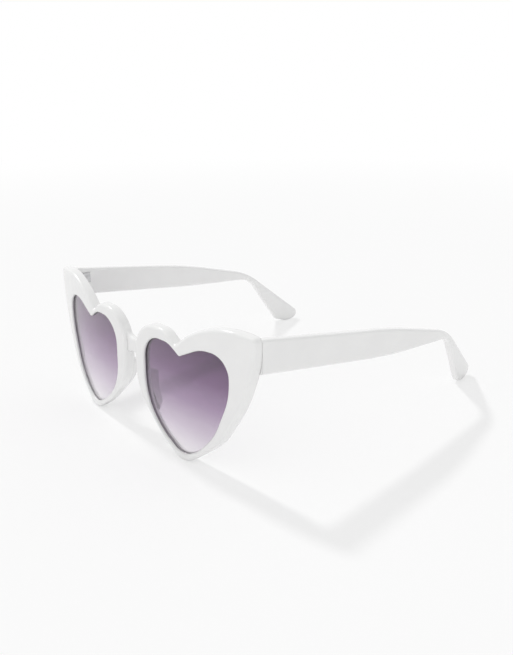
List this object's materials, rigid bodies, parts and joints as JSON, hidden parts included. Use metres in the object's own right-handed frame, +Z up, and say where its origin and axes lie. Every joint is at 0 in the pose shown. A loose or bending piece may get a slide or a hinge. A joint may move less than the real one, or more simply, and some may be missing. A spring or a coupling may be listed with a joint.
{
  "type": "sunglasses",
  "caption": "Heart shaped sunglasses with a curved glossy plastic front, gradient lenses and temples with flared ear tips that fold on screwed hinges.",
  "frame": {"origin": "on the surface that it stands on, under the middle of the opened glasses' box", "axes": "+X to the wearer's left, -Y where the wearer looks, +Z up"},
  "size_m": [0.1402, 0.1521, 0.0571],
  "materials": {
    "frame": "polished",
    "lens": "polished, tint fading downward",
    "pad": "polished",
    "hinge": "satin",
    "core": "satin"
  },
  "bodies": {
    "front": {"frame_front": "frame", "lens_left": "lens", "lens_right": "lens", "nose_pad_left": "pad", "nose_pad_right": "pad", "front_hinge_leaf_left": "hinge", "front_hinge_leaf_right": "hinge", "hinge_screw_left": "hinge", "hinge_screw_right": "hinge"},
    "temple_left": {"temple_left": "frame", "temple_hinge_leaf_left": "hinge", "core_wire_left": "core"},
    "temple_right": {"temple_right": "frame", "temple_hinge_leaf_right": "hinge", "core_wire_right": "core"}
  },
  "joints": [
    {"name": "left_temple_fold", "type": "hinge", "parent": "front", "child": "temple_left", "pos_m": [0.0606, -0.06304, 0.0498], "axis": [0, 0, 1], "range_deg": [0, 92]},
    {"name": "right_temple_fold", "type": "hinge", "parent": "front", "child": "temple_right", "pos_m": [-0.0606, -0.06304, 0.0498], "axis": [0, 0, -1], "range_deg": [0, 87]}
  ]
}
